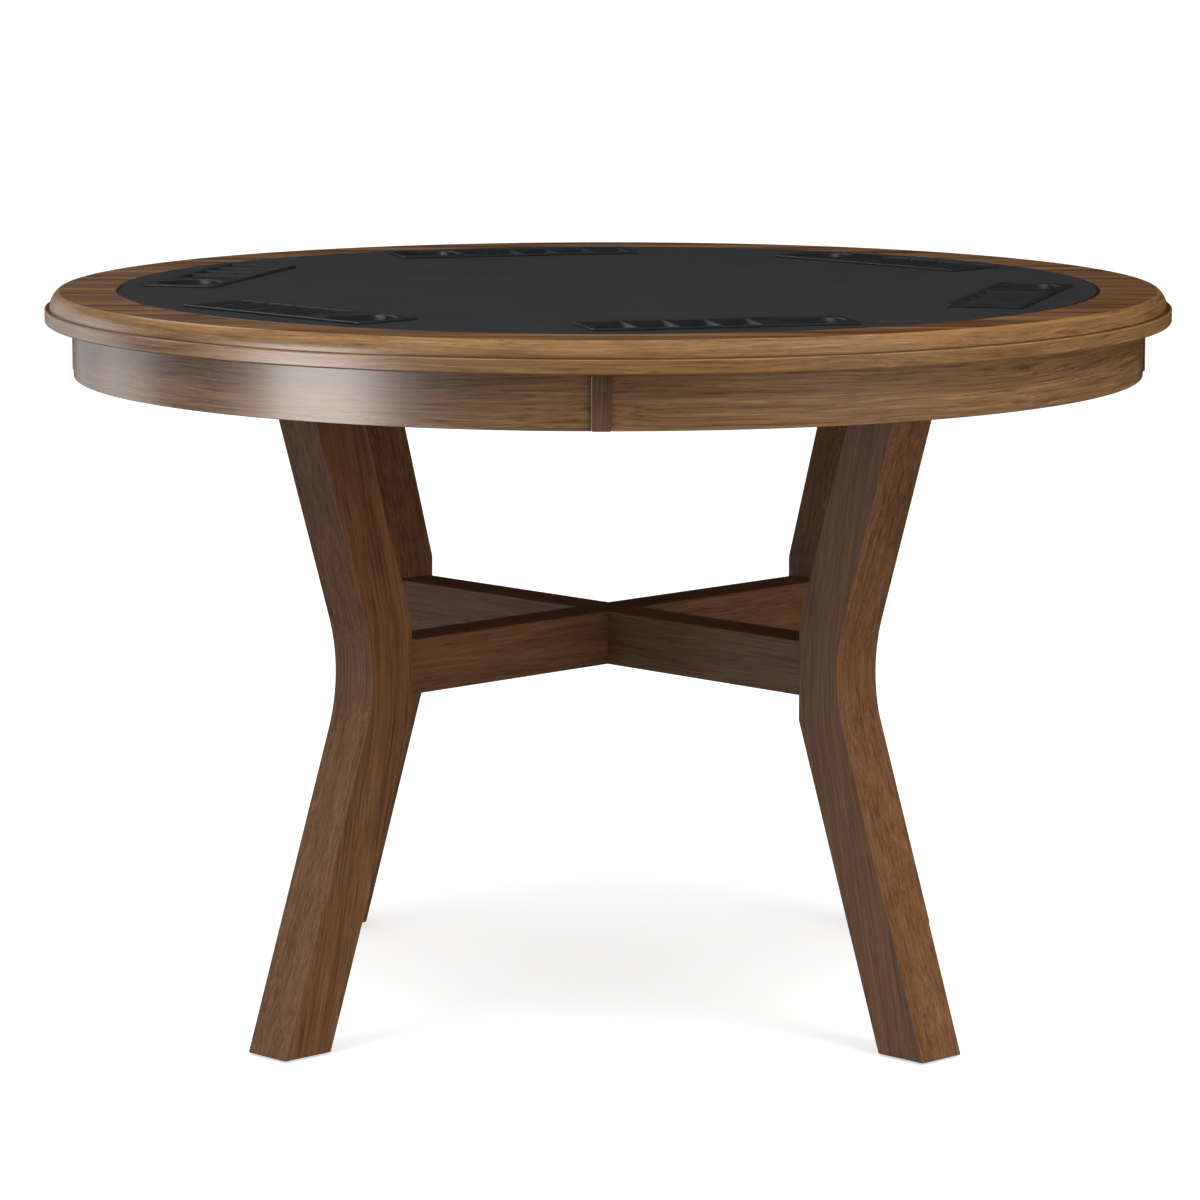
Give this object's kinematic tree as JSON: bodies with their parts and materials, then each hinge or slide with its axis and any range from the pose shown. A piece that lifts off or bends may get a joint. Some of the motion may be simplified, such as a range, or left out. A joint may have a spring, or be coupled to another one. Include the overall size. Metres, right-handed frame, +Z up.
{
  "type": "gaming table",
  "caption": "Round wooden gaming table with crossed K-shaped legs and a lift-out black playing insert with chip grooves and cup holders.",
  "frame": {"origin": "on the floor under the centre of the table top", "axes": "+Z up; the legs stand on the diagonals and the apron battens lie on the X and Y axes"},
  "size_m": [1.2192, 1.2192, 0.7799],
  "materials": {
    "rim_veneer": "satin lacquered veneer, walnut brown, straight grain along X",
    "edge_wood": "satin lacquered solid wood, lighter brown, grain along the edge",
    "apron_veneer": "satin lacquered bent veneer, grain round the apron",
    "batten_wood": "satin lacquered solid wood, upright grain",
    "block_wood": "plain sawn wood",
    "ledge_wood": "plain sawn wood",
    "rail_wood": "plain sawn wood",
    "bolt_steel": "dark zinc plated",
    "leg_wood": "satin lacquered solid wood, dark brown, grain along the leg",
    "tenon_wood": "plain planed wood",
    "stretcher_wood": "satin lacquered solid wood, dark brown",
    "screw_steel": "zinc plated",
    "glide_nylon": "dark moulded nylon",
    "core_board": "fibreboard core",
    "playing_cloth": "black microfibre speed cloth",
    "edge_band": "black plastic edge band, satin gloss",
    "underside_veneer": "satin lacquered veneer",
    "tray_plastic": "black moulded plastic, satin"
  },
  "bodies": {
    "table_frame": {"apron_1": "apron_veneer", "apron_2": "apron_veneer", "apron_3": "apron_veneer", "apron_4": "apron_veneer", "apron_batten_1": "batten_wood", "apron_batten_2": "batten_wood", "apron_batten_3": "batten_wood", "apron_batten_4": "batten_wood", "cross_rail_a": "rail_wood", "cross_rail_b": "rail_wood", "edge_moulding_1": "edge_wood", "edge_moulding_2": "edge_wood", "edge_moulding_3": "edge_wood", "edge_moulding_4": "edge_wood", "foot_glide_1": "glide_nylon", "foot_glide_2": "glide_nylon", "foot_glide_3": "glide_nylon", "foot_glide_4": "glide_nylon", "ledge_1": "ledge_wood", "ledge_2": "ledge_wood", "ledge_3": "ledge_wood", "ledge_4": "ledge_wood", "leg_1": "leg_wood", "leg_2": "leg_wood", "leg_3": "leg_wood", "leg_4": "leg_wood", "leg_bolt_1a": "bolt_steel", "leg_bolt_1b": "bolt_steel", "leg_bolt_2a": "bolt_steel", "leg_bolt_2b": "bolt_steel", "leg_bolt_3a": "bolt_steel", "leg_bolt_3b": "bolt_steel", "leg_bolt_4a": "bolt_steel", "leg_bolt_4b": "bolt_steel", "rim_panel": "rim_veneer", "rim_screw_1": "screw_steel", "rim_screw_2": "screw_steel", "rim_screw_3": "screw_steel", "rim_screw_4": "screw_steel", "splice_block_1": "block_wood", "splice_block_2": "block_wood", "splice_block_3": "block_wood", "splice_block_4": "block_wood", "stretcher_a": "stretcher_wood", "stretcher_b": "stretcher_wood", "stretcher_tenon_1": "tenon_wood", "stretcher_tenon_2": "tenon_wood", "stretcher_tenon_3": "tenon_wood", "stretcher_tenon_4": "tenon_wood"},
    "insert": {"insert_core": "core_board", "insert_edge_band": "edge_band", "insert_underside": "underside_veneer", "playing_surface": "playing_cloth", "station_tray_1": "tray_plastic", "station_tray_2": "tray_plastic", "station_tray_3": "tray_plastic", "station_tray_4": "tray_plastic", "station_tray_5": "tray_plastic", "station_tray_6": "tray_plastic"}
  },
  "joints": [
    {"name": "insert_lift", "type": "slide", "parent": "table_frame", "child": "insert", "axis": [0, 0, 1], "range_m": [0, 0.1]}
  ]
}
